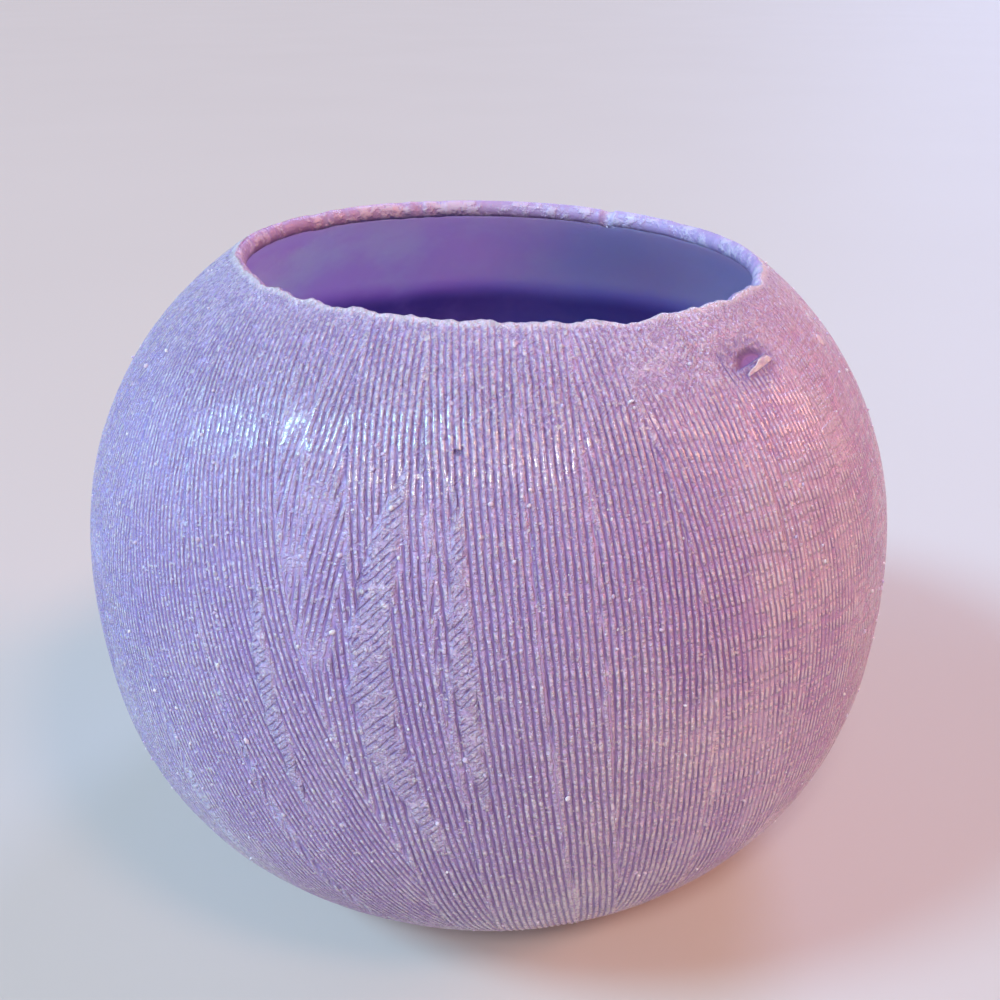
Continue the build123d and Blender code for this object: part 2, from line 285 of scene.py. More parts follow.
def tooth_noise(stroke_index, tooth, u, seed):
    """A number from -1 to 1 that drifts along each tooth."""
    key = stroke_index * 12.9898 + tooth * 78.233 + seed
    base = np.sin(key) * 43758.5453
    phase = (base - np.floor(base)) * 2 * math.pi
    return 0.6 * np.sin(u * 0.33 + phase) + 0.4 * np.sin(u * 0.81 + 3.1 * phase)


def combed_row(u):
    """Labels, azimuths, groove depths, tooth numbers, bareness and combing of one ring of the outside."""
    radius = float(np.interp(u, side_u, side_r))
    owner = np.full(owner_bins, -1)
    worn = np.ones(owner_bins)
    drawn = []
    for k, stroke in enumerate(strokes):
        beyond = max(stroke["low"] - u, u - stroke["high"], 0.0)
        if beyond > 6:
            continue
        half = stroke["teeth"] * tooth_pitch / radius / 2
        fray = 0.3 * math.sin(u * 0.19 + k) * tooth_pitch / radius
        centre = float(stroke_centre(stroke, u))
        first = int(math.floor((centre - half + fray) / (2 * math.pi) * owner_bins))
        last = int(math.floor((centre + half + fray) / (2 * math.pi) * owner_bins))
        covered = np.arange(first, last + 1) % owner_bins
        if beyond > 0:
            worn[covered] = np.minimum(worn[covered], 0.4 + 0.1 * beyond)
            continue
        owner[covered] = k
        worn[covered] = 1.0
        drawn.append((k, stroke, centre, half))
    for span in (wedge_span(wedge, u) for wedge in wedges):
        if span:
            first, last = (int(math.floor(a / (2 * math.pi) * owner_bins)) for a in span)
            owner[np.arange(first, last + 1) % owner_bins] = -1
    labels, azimuths, groove, tooth_number, bare, combing = [], [], [], [], [], []
    for k, stroke, centre, half in drawn:
        teeth = np.arange(stroke["teeth"])
        for kind, (place, share) in enumerate(zip(tooth_places, tooth_depths)):
            strayed = 0.10 * tooth_noise(k, teeth, u * 1.7, 2.0)
            strayed = strayed + 0.04 * tooth_noise(k, teeth, u * 3.1, kind + 6.0)
            azimuth = centre - half + ((teeth + place) * tooth_pitch + strayed) / radius
            bins = np.floor(azimuth / (2 * math.pi) * owner_bins).astype(int) % owner_bins
            kept = owner[bins] == k
            ends = np.clip(np.minimum(u - stroke["low"], stroke["high"] - u) / 10, 0, 1) ** 0.7
            uneven = 0.86 + 0.24 * tooth_noise(k, teeth, u, kind * 5.0)
            pressed = stroke["depth"] * ends * worn[bins] * uneven
            crest_wear = 0.05 * (1 + tooth_noise(k, teeth, u, 9.0)) if kind else 0.0
            labels.append((k * 400 + teeth * 4 + kind)[kept])
            azimuths.append(azimuth[kept])
            groove.append((share * pressed + crest_wear)[kept])
            tooth_number.append((k * 40.0 + teeth + place)[kept])
            bare.append(np.zeros(int(kept.sum())))
            combing.append(pressed[kept])
    columns = np.arange(gap_columns)
    azimuth = columns * 2 * math.pi / gap_columns - math.pi
    kept = owner[np.floor(azimuth / (2 * math.pi) * owner_bins).astype(int) % owner_bins] == -1
    labels.append(-1 - columns[kept])
    azimuths.append(azimuth[kept])
    groove.append((0.22 + 0.12 * tooth_noise(500, columns, u, 3.0))[kept])
    tooth_number.append((-900.0 + azimuth * belly_radius / tooth_pitch)[kept])
    bare.append(np.ones(int(kept.sum())))
    combing.append(np.ones(int(kept.sum())))
    row = [np.concatenate(x) for x in (labels, azimuths, groove, tooth_number, bare, combing)]
    row[1] = (row[1] + math.pi) % (2 * math.pi) - math.pi
    order = np.argsort(row[1], kind="stable")
    row = [x[order] for x in row]
    roomy = np.diff(row[1], prepend=row[1][-1] - 2 * math.pi) * radius > 0.14
    return tuple(x[roomy] for x in row)


floor_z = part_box("tealight_case")[0].z / MM
floor_radius, cove_depth = 44.0, 2.4
wall_at_lip, wall_at_belly = 3.9, 4.0
for radius in (0.6, 9.0, 20.0, 30.0, 38.0, floor_radius):
    plain_ring(radius, floor_z - (0.15 if radius > 25 else 0.0), 0.0, 1)
inner_start = float(np.interp(floor_z + cove_depth + 1.2, side_z, side_u))
inner_rows = 36
for i in range(inner_rows):
    share = i / (inner_rows - 1)
    u = inner_start + (lip_u - 2.6 - inner_start) * share
    azimuths = np.arange(plain_columns) * 2 * math.pi / plain_columns - math.pi
    follow = np.clip((share - 0.5) / 0.5, 0, 1) ** 2
    near_lip = np.exp(-(lip_u - u) / 2.5)
    place = u + lip_lean(azimuths) * follow - lip_loss(azimuths) * near_lip
    wall = wall_at_lip + (wall_at_belly - wall_at_lip) * np.clip((lip_u - u) / 60, 0, 1)
    wall = wall + 2.0 * math.exp(-(u - inner_start) / 5)
    zero = np.zeros(plain_columns)
    labels = -1 - np.arange(plain_columns)
    add_ring(on_side(place, azimuths, wall), labels, azimuths, zero, zero, place, 1, 1.0)

top_labels, top_azimuths, _, top_tooth, top_bare, _ = combed_row(lip_u + 0.01)
lip_place = lip_u + lip_lean(top_azimuths) - lip_loss(top_azimuths)
broken = wobble(top_azimuths, [(37, 1.0), (71, 0.8), (113, 0.7), (160, 0.5)], 5)
lip_section = (
    (wall_at_lip, -1.3, 0.9), (3.45, -0.42, 0.8), (2.7, 0.12, 0.65), (1.8, 0.38, 0.5), (1.0, 0.36, 0.35),
    (0.45, 0.2, 0.25), (0.12, 0.0, 0.15),
)
for depth, above, inside in lip_section:
    rough = 0.02 * broken * (above > 0)
    zero = np.zeros(len(top_labels))
    lip_points = on_side(lip_place + above + rough, top_azimuths, depth)
    add_ring(lip_points, top_labels, top_azimuths, zero, top_tooth, lip_place + above, inside, top_bare)

row_places = np.concatenate([lip_u - np.array([0.45, 1.3]), np.linspace(lip_u - 2.6, 0.0, row_count)])
for u in row_places:
    labels, azimuths, groove, tooth_number, bare, combing = combed_row(u)
    pressed = pressure(azimuths, u)
    follow = np.clip((u / lip_u - 0.35) / 0.65, 0, 1) ** 1.5
    fade = math.exp(-(lip_u - u) / 1.6)
    place = u + lip_lean(azimuths) * follow - lip_loss(azimuths) * fade
    groove = groove * full_groove * pressed
    side_points, combing = on_side(place, azimuths), combing * pressed
    add_ring(side_points, labels, azimuths, groove, tooth_number, place, 0, bare, combing, lip_u - u)
foot_radius = float(side_r[0])
for radius in (foot_radius - 1.5, 36.0, 22.0, 9.0, 0.6):
    plain_ring(radius, 0.0 if radius > 40 else 0.25, -5.0, 0)

starts = np.concatenate([[0], np.cumsum([len(r["labels"]) for r in rings])])


def rising(values):
    """Indices of a longest rising run of values, so that no two joined teeth cross."""
    tails, tail_index, previous = [], [], [0] * len(values)
    for i, value in enumerate(values):
        at = bisect_left(tails, value)
        previous[i] = tail_index[at - 1] if at else -1
        tails[at:at + 1] = [value]
        tail_index[at:at + 1] = [i]
    chain, i = [], tail_index[-1]
    while i >= 0:
        chain.append(i)
        i = previous[i]
    return chain[::-1]


def join_rings(a, b, start_a, start_b):
    """Faces between two rings, tooth to tooth where both have it."""
    count_a, count_b = len(a["labels"]), len(b["labels"])
    az_a, az_b = a["azimuths"].tolist(), b["azimuths"].tolist()
    at_b = {label: j for j, label in enumerate(b["labels"].tolist())}
    pairs = [(i, at_b[label]) for i, label in enumerate(a["labels"].tolist()) if label in at_b]
    pairs = [
        (i, j) for i, j in pairs if abs((az_a[i] - az_b[j] + math.pi) % (2 * math.pi) - math.pi) < 0.05
    ]
    if not pairs:
        pairs = [(0, int(np.argmin(np.abs(b["azimuths"] - az_a[0]))))]
    first_j = pairs[0][1]
    pairs = [(i, (j - first_j) % count_b + first_j) for i, j in pairs]
    pairs = [pairs[k] for k in rising([j for _, j in pairs])]
    pairs.append((pairs[0][0] + count_a, pairs[0][1] + count_b))
    shift = round((az_a[pairs[0][0]] - az_b[pairs[0][1] % count_b]) / (2 * math.pi)) * 2 * math.pi
    base = pairs[0][1] // count_b
    made = []
    for (i, j), (i_end, j_end) in zip(pairs, pairs[1:]):
        while i < i_end or j < j_end:
            va, vb = start_a + i % count_a, start_b + j % count_b
            va_next, vb_next = start_a + (i + 1) % count_a, start_b + (j + 1) % count_b
            if i_end - i == 1 and j_end - j == 1:
                made.append((va, vb, vb_next, va_next))
                break
            ahead_a = az_a[(i + 1) % count_a] + 2 * math.pi * ((i + 1) // count_a)
            ahead_b = az_b[(j + 1) % count_b] + 2 * math.pi * ((j + 1) // count_b - base) + shift
            if j == j_end or (i < i_end and ahead_a <= ahead_b):
                made.append((va, vb, va_next))
                i += 1
            else:
                made.append((va, vb, vb_next))
                j += 1
    return made


faces = []
for i in range(len(rings) - 1):
    faces += join_rings(rings[i], rings[i + 1], int(starts[i]), int(starts[i + 1]))
faces.append(tuple(range(plain_columns)))
faces.append(tuple(range(int(starts[-1]) - 1, int(starts[-1]) - 1 - plain_columns, -1)))
points = np.concatenate([r["points"] for r in rings]) * MM
globe_mesh = bpy.data.meshes.new("combed_globe")
globe_mesh.from_pydata(points.tolist(), [], faces)
for name, key in (
    ("groove", "groove"), ("inside", "inside"), ("bare", "bare"), ("up_the_side", "u"),
    ("combing", "combing"), ("below_lip", "below_lip"),
):
    layer = globe_mesh.attributes.new(name, "FLOAT", "POINT")
    layer.data.foreach_set("value", np.concatenate([r[key] for r in rings]).astype(np.float32))

corner_vertex = np.zeros(len(globe_mesh.loops), int)
globe_mesh.loops.foreach_get("vertex_index", corner_vertex)
face_start = np.zeros(len(globe_mesh.polygons), int)
globe_mesh.polygons.foreach_get("loop_start", face_start)
face_size = np.zeros(len(globe_mesh.polygons), int)
globe_mesh.polygons.foreach_get("loop_total", face_size)
lead_vertex = np.repeat(corner_vertex[face_start], face_size)
tooth_all, u_all, az_all = (np.concatenate([r[key] for r in rings]) for key in ("tooth", "u", "azimuths"))
radius_all = np.hypot(points[:, 0], points[:, 1]) / MM
own, lead = tooth_all[corner_vertex], tooth_all[lead_vertex]
apart = (az_all[corner_vertex] - az_all[lead_vertex] + math.pi) % (2 * math.pi) - math.pi
carried = lead + apart * radius_all[lead_vertex] / tooth_pitch
comb_uv = globe_mesh.uv_layers.new(name="comb")
across = np.where(np.abs(own - carried) < 1.2, own, carried)
comb_uv.data.foreach_set("uv", np.stack([across, u_all[corner_vertex]], 1).astype(np.float32).ravel())
globe_mesh.polygons.foreach_set("use_smooth", np.ones(len(globe_mesh.polygons), bool))
globe_mesh.validate()
globe = bpy.data.objects.new("combed_globe", globe_mesh)
bpy.context.scene.collection.objects.link(globe)


# Nodes, wired by hand
# Every finish and every scatter below is a small tree of nodes. A Wire is a node's output that can be
# added, multiplied and so on; a Bench holds one tree and sets its nodes out.

class Wire:
    def __init__(self, bench, socket):
        self.bench, self.socket = bench, socket

    def __add__(self, other):
        return self.bench.maths("ADD", self, other)

    def __sub__(self, other):
        return self.bench.maths("SUBTRACT", self, other)

    def __rsub__(self, other):
        return self.bench.maths("SUBTRACT", other, self)

    def __mul__(self, other):
        return self.bench.maths("MULTIPLY", self, other)

    def __truediv__(self, other):
        return self.bench.maths("DIVIDE", self, other)

    def __rtruediv__(self, other):
        return self.bench.maths("DIVIDE", other, self)

    __radd__, __rmul__ = __add__, __mul__


class Outputs:
    def __init__(self, bench, node):
        self.bench, self.node = bench, node

    def __getitem__(self, name):
        return Wire(self.bench, self.node.outputs[name])


class Bench:
    def __init__(self, tree):
        self.tree = tree
        self.column = 0

    def node(self, kind, settings=None, sockets=None):
        """A node of that kind with its settings made first and its sockets set or wired."""
        made = self.tree.nodes.new(kind)
        self.column += 1
        made.location = (self.column % 12 * 180, -(self.column // 12) * 220)
        for name, value in (settings or {}).items():
            setattr(made, name, value)
        for name, value in (sockets or {}).items():
            if isinstance(value, Wire):
                self.tree.links.new(value.socket, made.inputs[name])
            else:
                made.inputs[name].default_value = value
        return Outputs(self, made)

    def maths(self, operation, *values):
        """A number worked out from others."""
        return self.node("ShaderNodeMath", {"operation": operation}, dict(enumerate(values)))[0]

    def step(self, value, low, high):
        """Nought below low and one above high, eased between."""
        sockets = {"Value": value, "From Min": low, "From Max": high}
        return self.node("ShaderNodeMapRange", {"interpolation_type": "SMOOTHSTEP"}, sockets)["Result"]

    def blend(self, share, a, b):
        """From colour a to colour b."""
        a, b = (c if isinstance(c, Wire) else (*c, 1.0) for c in (a, b))
        settings = {"data_type": "RGBA", "clamp_factor": True}
        return self.node("ShaderNodeMix", settings, {0: share, 6: a, 7: b})[2]

    def grain(self, place, scale, detail=2.0, roughness=0.5, distortion=0.0):
        """Soft noise, about a half on average."""
        return self.node("ShaderNodeTexNoise", {}, {
            "Vector": place, "Scale": scale, "Detail": detail, "Roughness": roughness,
            "Distortion": distortion,
        })["Fac"]

    def patches(self, place, scale, low, high, detail=2.0, roughness=0.5, distortion=0.0):
        """Noise drawn out into patches, nought between them and one within."""
        return self.step(self.grain(place, scale, detail, roughness, distortion), low, high)

    def dots(self, place, scale, low, high):
        """Small round dots, one in each cell of a random pattern."""
        nearest = self.node("ShaderNodeTexVoronoi", {}, {"Vector": place, "Scale": scale})["Distance"]
        return 1.0 - self.step(nearest, low, high)

    def vector(self, x, y, z):
        return self.node("ShaderNodeCombineXYZ", {}, {"X": x, "Y": y, "Z": z})["Vector"]

    def axes(self, place):
        parts = self.node("ShaderNodeSeparateXYZ", {}, {"Vector": place})
        return parts["X"], parts["Y"], parts["Z"]

    def stretched(self, place, scale):
        """The place multiplied along each axis."""
        return self.node("ShaderNodeVectorMath", {"operation": "MULTIPLY"}, {0: place, 1: scale})["Vector"]

    def scaled(self, vector, size):
        sockets = {0: vector, "Scale": size}
        return self.node("ShaderNodeVectorMath", {"operation": "SCALE"}, sockets)["Vector"]

    def bump(self, height, distance):
        return self.node("ShaderNodeBump", {}, {"Height": height, "Distance": distance})["Normal"]


def new_finish(name, **constants):
    """An empty material: its bench, its shader and the place on the piece."""
    material = bpy.data.materials.new(name)
    material.use_nodes = True
    bench = Bench(material.node_tree)
    shader = material.node_tree.nodes["Principled BSDF"]
    for socket, value in constants.items():
        shader.inputs[socket.replace("_", " ")].default_value = value
    place = bench.node("ShaderNodeTexCoord")["Object"]
    return material, bench, shader, place


def feed(bench, shader, **wires):
    """Wires into the shader's sockets."""
    for socket, wire in wires.items():
        bench.tree.links.new(wire.socket, shader.inputs[socket.replace("_", " ")])


# Wax globe, its finish
# Violet candle wax, cloudy and a little see-through. A white bloom sits on the crests and in patches,
# beads of dragged wax run down the ridges, and fresh wax shows darker where a flake or a chip has gone.
# Inside it is smooth and shows its clouds. Its colours are painted light: lighter above a wavy line and
# painted shade below it, painted rosy light on the left wall and painted blue light on the right.

# The last colour on this line is painted shade for the comb's grooves and the score lines, not a colour of
# the wax itself.
wax_body, wax_cloud, painted_groove_shade = (0.40, 0.265, 0.56), (0.50, 0.36, 0.63), (0.19, 0.10, 0.36)
wax_bloom, wax_fresh = (0.80, 0.70, 0.80), (0.15, 0.06, 0.30)
# Painted light: the right side's skin and bloom are tinted by painted rosy lamp light, the left side's by
# painted blue lamp light.
painted_rosy_light_body, painted_rosy_light_bloom = (0.47, 0.205, 0.39), (0.86, 0.60, 0.64)
painted_blue_light_body, painted_blue_light_bloom = (0.30, 0.285, 0.66), (0.68, 0.72, 0.90)
lip_wax, lip_frost, pit_shade = (0.50, 0.35, 0.60), (0.74, 0.62, 0.76), (0.07, 0.03, 0.16)
# Inside colours are painted light: rosy lamp light on the left wall and blue lamp light on the right, each
# lighter above the line and painted shade below it.
rosy_light_inside, rosy_light_cloud, pool_shade = (0.84, 0.50, 0.84), (0.95, 0.72, 0.93), (0.11, 0.07, 0.26)
blue_light_upper, blue_light_shade, inside_rim_pale = (0.36, 0.58, 1.0), (0.03, 0.09, 0.34), (0.72, 0.60, 0.80)
flake_azimuth, flake_height = -45.5, 129.0
flake_radius = float(ball_radius(flake_height))


def combed_finish():
    material, bench, shader, place = new_finish(
        "violet_wax", Subsurface_Weight=0.45, Subsurface_Scale=0.0014, Subsurface_Radius=(1.0, 0.62, 1.15),
        IOR=1.45, Specular_IOR_Level=0.8, Coat_Roughness=0.12,
    )
    groove, inside, bare, combing, below_lip = (
        bench.node("ShaderNodeAttribute", {"attribute_name": n})["Fac"]
        for n in ("groove", "inside", "bare", "combing", "below_lip")
    )
    tooth, along, _ = bench.axes(bench.node("ShaderNodeUVMap", {"uv_map": "comb"})["UV"])
    x, y, z = bench.axes(place)

    # Where on the globe: over the lip, on the worn right side, and on the sides given painted rosy and blue
    # light.
    outside = 1.0 - bench.step(inside, 0.05, 0.25)
    lip = bench.step(inside, 0.1, 0.3)
    to_right = bench.step(x - y * 0.5, 0.05, 0.085)
    calm = bench.step(x - y * 0.2, 0.040, 0.070)
    rosy = bench.step(x - y * 0.3, 0.005, 0.095)
    blue = bench.step(0.0 - x - y * 0.1, 0.02, 0.095)

    # Ridges between the comb's teeth, and the beads along them: each ridge's own, or in step across many.
    number = bench.maths("FLOOR", tooth)
    share = tooth - number + 0.42 * (bench.grain(place, 520.0, 2.0, 0.6) - 0.5)
    combed = (1.0 - bare) * bench.step(combing, 0.03, 0.45)
    crest = 0.5 + (bench.step(bench.maths("MINIMUM", share, 1.0 - share), 0.08, 0.32) - 0.5) * combed
    skin = bench.maths("MAXIMUM", crest, 1.0 - combed)
    lone_bead = bench.patches(bench.vector(number * 7.31, along * 0.52, 0.0), 1.0, 0.40, 0.60, 1.5, 0.6)
    shared_bead = bench.patches(bench.vector(number * 0.16, along * 0.56, 4.0), 1.0, 0.42, 0.60, 1.5, 0.6)
    bead = lone_bead + (shared_bead - lone_bead) * (0.25 + 0.6 * to_right)

    # Single marks: a pit, a pale lump, and the flake with its straight lower edge.
    turn = bench.maths("ARCTAN2", y, x)

    def near(azimuth, mark_height, size):
        """One within a small round mark on the skin, easing to nought round it."""
        across = (turn - math.radians(azimuth)) * (float(ball_radius(mark_height)) / size)
        up = (z / MM - mark_height) * (1.45 / size)
        return 1.0 - bench.step(across * across + up * up, 0.3, 1.1)

    pit, pale_lump = 0.7 * near(-94.0, 123.0, 0.7), near(-19.3, 125.0, 1.7)
    sideways = (turn - math.radians(flake_azimuth)) * flake_radius
    upwards = (z / MM - flake_height) * 1.6
    over_edge = bench.step(upwards - sideways * 0.114 + 0.95, 0.0, 0.3)
    bowl_x, bowl_y = (sideways - 0.9) / 5.4, (upwards + 1.0) / 3.7
    from_flake = bowl_x * bowl_x + bowl_y * bowl_y
    fresh = over_edge * (1.0 - bench.step(from_flake, 0.2, 1.05))

    # Slanted scores in the bare wedges, each broken off here and there.
    across_mm = tooth * tooth_pitch
    slant_x, slant_y = across_mm * 0.70 - along * 0.71, across_mm * 0.71 + along * 0.70
    drift = bench.grain(bench.vector(tooth * 0.2, along * 0.2, 2.0), 1.0, 2.0, 0.6) - 0.5
    score = slant_x / 1.15 + 1.1 * drift
    score_number = bench.maths("FLOOR", score + 0.5)
    off_score = bench.maths("ABSOLUTE", score - score_number)
    along_score = bench.vector(score_number * 7.31, slant_y * 0.30, 6.0)
    unbroken = bench.patches(along_score, 1.0, 0.40, 0.52, 2.0, 0.6)
    crack = 1.0 - (1.0 - bench.step(off_score, 0.03, 0.22)) * unbroken

    # Scratches both ways near the lip, crinkles, streaks on the right, specks and grit.
    back_x, back_y = across_mm * 0.8 + along * 0.6, across_mm * -0.6 + along * 0.8
    rising_scratch = bench.patches(
        bench.vector(slant_x * 1.5, slant_y * 0.2, 9.0), 1.0, 0.44, 0.56, 2.0, 0.6, 0.4,
    )
    falling_scratch = bench.patches(
        bench.vector(back_x * 1.5, back_y * 0.2, 5.0), 1.0, 0.44, 0.56, 2.0, 0.6, 0.4,
    )
    by_lip = 1.0 - bench.step(below_lip, 10.0, 44.0)
    cross = bench.maths("MAXIMUM", rising_scratch, falling_scratch) * by_lip
    crinkle = bench.patches(place, 780.0, 0.40, 0.60, 2.0, 0.6, 1.8)
    crinkle = crinkle * (1.0 - bench.step(from_flake, 1.6, 0.9))
    streak = bench.patches(bench.vector(tooth * 1.7, along * 0.16, 7.0), 1.0, 0.42, 0.62, 2.0, 0.6)
    grit = bench.grain(place, 1100.0, 3.0, 0.7)
    big_speck = bench.dots(place, 330.0, 0.10, 0.20) * bench.patches(place, 120.0, 0.5, 0.6)
    fine_speck = bench.dots(place, 820.0, 0.14, 0.30) * bench.patches(place, 300.0, 0.48, 0.60)
    speck = bench.maths("MAXIMUM", big_speck, fine_speck * 0.8)

    # The white bloom: on beads and crests, in patches, low down and on the right; along the lip's edge the
    # pale band is partly frosted broken wax and partly painted highlight.
    patch = bench.patches(place, 26.0, 0.42, 0.62, 4.0, 0.62)
    low_haze = bench.patches(bench.stretched(place, (1.0, 1.0, 0.5)), 46.0, 0.47, 0.64, 4.0, 0.65)
    low_haze = low_haze * (1.0 - bench.step(z, 0.03, 0.11)) + 0.35 * (1.0 - bench.step(z, 0.004, 0.03))
    drawn_out = bench.stretched(place, (1.0, 1.0, 0.4))
    right_haze = bench.patches(drawn_out, 60.0, 0.45, 0.62, 4.0, 0.7) * to_right
    # Partly painted highlight: a pale band just under the lip's edge, over its frosted broken wax.
    lip_edge_frost_and_highlight = (1.0 - bench.step(below_lip, 0.5, 2.2)) * (1.0 - inside)
    on_skin = 0.20 * crinkle * (1.0 - 0.85 * calm) + 0.24 * cross * (1.0 - calm) + 0.26 * streak * calm
    white = crest * (0.06 + 0.24 * bead + 0.22 * patch * bead) + skin * on_skin
    white = white + 0.46 * low_haze * (0.3 + 0.7 * crest) + bare * 0.12 * crack + 0.26 * right_haze
    grain_of_white = 0.35 + 1.25 * bench.step(grit, 0.30, 0.68)
    white = white * (grain_of_white + (1.0 - grain_of_white) * 0.85 * calm)
    white = white + 0.8 * speck + 0.75 * lip_edge_frost_and_highlight + 0.8 * pale_lump
    white = white * outside * (1.0 - 0.9 * fresh) * (1.0 - pit)

    # Colours, from the clouds in the wax out to the bloom on it and the frost on the broken lip.
    # How deep the groove is, used for the painted shade below and for roughness.
    groove_shade_share = bench.step(groove, 0.0, 0.30)
    body = bench.blend(bench.patches(place, 17.0, 0.36, 0.66, 3.0, 0.6), wax_body, wax_cloud)
    # Painted light: the right side is tinted rosy and the left side blue, as the tinted lamps light them.
    body = bench.blend(0.8 * rosy, body, painted_rosy_light_body)
    body = bench.blend(0.7 * blue, body, painted_blue_light_body)
    bloom = bench.blend(0.7 * blue, bench.blend(0.8 * rosy, wax_bloom, painted_rosy_light_bloom), painted_blue_light_bloom)
    # Painted shade: the grooves, by their depth, and the unbroken score lines in the bare wedges are
    # darkened.
    body = bench.blend(groove_shade_share * outside * 0.8, body, painted_groove_shade)
    body = bench.blend(0.8 * bare * (1.0 - crack) * outside, body, painted_groove_shade)
    body = bench.blend(fresh * 0.85, body, wax_fresh)
    body = bench.blend(pit, body, pit_shade)
    colour = bench.blend(bench.maths("MINIMUM", white, 0.95), body, bloom)
    frost = bench.patches(place, 210.0, 0.46, 0.60, 4.0, 0.65)
    colour = bench.blend(0.7 * lip, colour, bench.blend(frost, lip_wax, lip_frost))

    # Relief and gloss, calmer on the right and gone where the flake came off.
    lively = 1.0 - 0.9 * calm
    height = crest * bead * (0.85 + 0.55 * to_right) + lively * (skin * crinkle * 0.7 + grit * 0.3)
    height = height + speck * 0.7 + bare * crack + lively * cross + calm * streak * 0.5
    height = outside * (height * (1.0 - fresh) - 2.2 * fresh - 2.5 * pit + 1.2 * pale_lump)
    height = height + lip * (0.45 * frost + 0.3 * grit)
    roughness = 0.18 + 0.26 * groove_shade_share + 0.10 * white + 0.12 * grit + 0.25 * lip
    gloss = crest * (0.2 + 0.8 * bench.step(bead, 0.3, 0.7)) * (0.45 + 0.55 * crinkle) * (1.0 - fresh)
    gloss = (1.0 + 0.3 * calm) * (gloss + 0.4 * speck) * outside + 0.10 * lip
    normal = bench.bump(height, 0.00046)
    feed(bench, shader, Base_Color=colour, Roughness=roughness, Coat_Weight=gloss, Normal=normal)
    return material


def poured_finish():
    material, bench, shader, place = new_finish(
        "violet_wax_inside", Subsurface_Weight=0.95, Subsurface_Scale=0.014,
        Subsurface_Radius=(1.0, 0.85, 1.1), IOR=1.45,
    )
    x, _, z = bench.axes(place)
    # Painted light: above this wavy line the wall is painted lighter, and below it the pool colour is
    # painted shade.
    line = z + 0.006 * (bench.grain(place, 22.0, 2.0) - 0.5)
    upper = bench.step(line, 0.102, 0.112)
    cloud = bench.patches(place, 34.0, 0.38, 0.66, 4.0, 0.6)
    pour = bench.grain(bench.stretched(place, (14.0, 14.0, 190.0)), 1.0, 3.0, 0.55)
    # Painted rosy light over the wax's own clouds.
    colour = bench.blend(cloud * (0.5 + 0.3 * upper), rosy_light_inside, rosy_light_cloud)
    colour = bench.blend((1.0 - upper) * (0.72 + 0.2 * (1.0 - cloud)), colour, pool_shade)
    # Painted blue light on the right wall, lighter above the line and painted shade below it.
    blue_light_side = bench.step(x + 0.05 * (bench.grain(place, 18.0, 2.0) - 0.5), -0.035, 0.035)
    colour = bench.blend(blue_light_side * 0.85, colour, bench.blend(upper, blue_light_shade, blue_light_upper))
    # A paler band just inside the lip.
    rim = bench.step(z + 0.004 * (bench.grain(place, 40.0, 3.0) - 0.5), 0.126, 0.136)
    colour = bench.blend(rim * 0.5, colour, inside_rim_pale)
    height = pour * 0.5 + cloud * 0.4 + bench.grain(place, 700.0, 2.0) * 0.08
    feed(bench, shader, Base_Color=colour, Roughness=0.28 + 0.2 * cloud, Normal=bench.bump(height, 0.0003))
    return material


combed_wax, poured_wax = combed_finish(), poured_finish()


def sink_flake():
    """Sinks the hollow that a flake left on the right shoulder, and smooths the comb's marks away in it."""
    azimuth = np.concatenate([r["azimuths"] for r in rings])
    inside_all = np.concatenate([r["inside"] for r in rings])
    groove_now = np.concatenate([r["groove"] for r in rings])
    sideways = (azimuth - math.radians(flake_azimuth)) * flake_radius
    upwards = u_all - float(np.interp(flake_height, side_z, side_u))
    hollow = np.clip(1.3 - (sideways / 8.5) ** 2 - ((upwards - 0.6) / 4.5) ** 2, 0, 1) * (inside_all < 0.1)
    sunk = np.where(hollow > 0, groove_now * (1 - hollow) + 0.45 * hollow, groove_now)
    globe_mesh.attributes["groove"].data.foreach_set("value", sunk.astype(np.float32))


sink_flake()


corner_inputs = (
    ("Lowest corner", "NodeSocketVector", (-1.0, -1.0, 0.0)),
    ("Highest corner", "NodeSocketVector", (1.0, 1.0, 1.0)),
)


def geometry_tree(name, inputs):
    """An empty tree for a modifier with named inputs, and its bench and group input."""
    tree = bpy.data.node_groups.new(name, "GeometryNodeTree")
    tree.interface.new_socket("Geometry", in_out="INPUT", socket_type="NodeSocketGeometry")
    for label, kind, value in inputs:
        tree.interface.new_socket(label, in_out="INPUT", socket_type=kind).default_value = value
    tree.interface.new_socket("Geometry", in_out="OUTPUT", socket_type="NodeSocketGeometry")
    bench = Bench(tree)
    return tree, bench, bench.node("NodeGroupInput")


def close_tree(bench, geometry, corners, *finishes):
    """Ends a tree: real faces, kept inside the ball's box, each finish on the faces chosen for it."""
    real = bench.node("GeometryNodeRealizeInstances", {}, {"Geometry": geometry})["Geometry"]
    place = bench.node("GeometryNodeInputPosition")["Position"]
    for operation, corner in zip(("MAXIMUM", "MINIMUM"), corners):
        settings = {"operation": operation}
        place = bench.node("ShaderNodeVectorMath", settings, {0: place, 1: corner})["Vector"]
    coated = bench.node("GeometryNodeSetPosition", {}, {"Geometry": real, "Position": place})["Geometry"]
    for material, chosen in finishes:
        sockets = {"Geometry": coated, "Material": material, "Selection": chosen}
        coated = bench.node("GeometryNodeSetMaterial", {}, sockets)["Geometry"]
    bench.node("NodeGroupOutput", {}, {"Geometry": coated})


